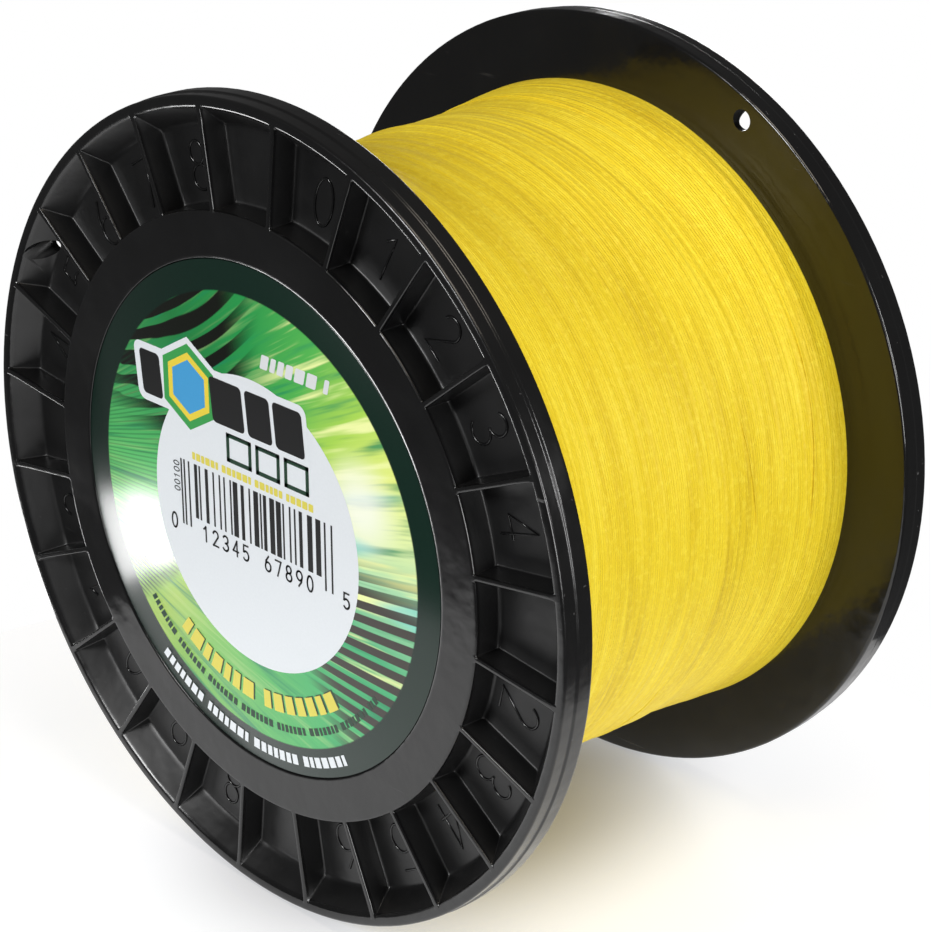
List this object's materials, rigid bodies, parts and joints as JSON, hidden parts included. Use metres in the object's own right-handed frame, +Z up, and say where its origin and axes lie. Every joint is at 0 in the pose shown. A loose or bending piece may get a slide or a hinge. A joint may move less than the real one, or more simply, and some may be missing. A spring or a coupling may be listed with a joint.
{
  "type": "fishing line spool",
  "caption": "Bulk fishing line spool: ribbed black plastic flanges on a hollow core, wound full of yellow braided line, with a round paper label on each end.",
  "frame": {"origin": "on the spool's axis, halfway between the outer faces of the two flanges", "axes": "+Y along the spool's axis away from the label side, +Z up as the label reads, +X to the right as the label reads"},
  "size_m": [0.116, 0.0712, 0.116],
  "materials": {
    "black_plastic": "semi-gloss moulded black polystyrene",
    "core_plastic": "matt moulded black polystyrene",
    "yellow_line": "high-visibility yellow braided line, wound tight",
    "label_front": "coated paper printed green and black with a white panel",
    "label_rear": "coated paper printed dark green",
    "clear_tape": "translucent adhesive tape"
  },
  "bodies": {
    "root": {"front_flange": "black_plastic", "rear_flange": "black_plastic", "core_barrel": "core_plastic", "arbor_tube": "core_plastic", "anchor_tape": "clear_tape", "line_winding": "yellow_line", "end_tape": "clear_tape", "front_label": "label_front", "rear_label": "label_rear"}
  },
  "joints": []
}
